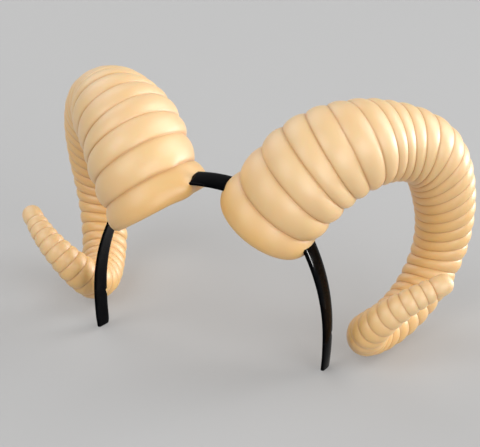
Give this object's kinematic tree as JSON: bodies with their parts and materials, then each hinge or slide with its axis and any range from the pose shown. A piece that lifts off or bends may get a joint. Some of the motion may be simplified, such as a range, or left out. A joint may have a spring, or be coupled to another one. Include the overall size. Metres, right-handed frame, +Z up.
{
  "type": "ram horn headband",
  "caption": "Narrow bent plastic headband carrying a mirrored pair of soft, ribbed, curled ram horns.",
  "frame": {"origin": "on the surface it stands on, under the middle of the whole object", "axes": "+Z up, +X towards the wearer's left, -Y towards the front; the horns curl rearwards and outwards"},
  "size_m": [0.2596, 0.1273, 0.1449],
  "materials": {
    "strip_plastic": "gloss black",
    "horn_latex": "satin"
  },
  "bodies": {
    "root": {"headband": "strip_plastic", "left_horn": "horn_latex", "right_horn": "horn_latex"}
  },
  "joints": []
}
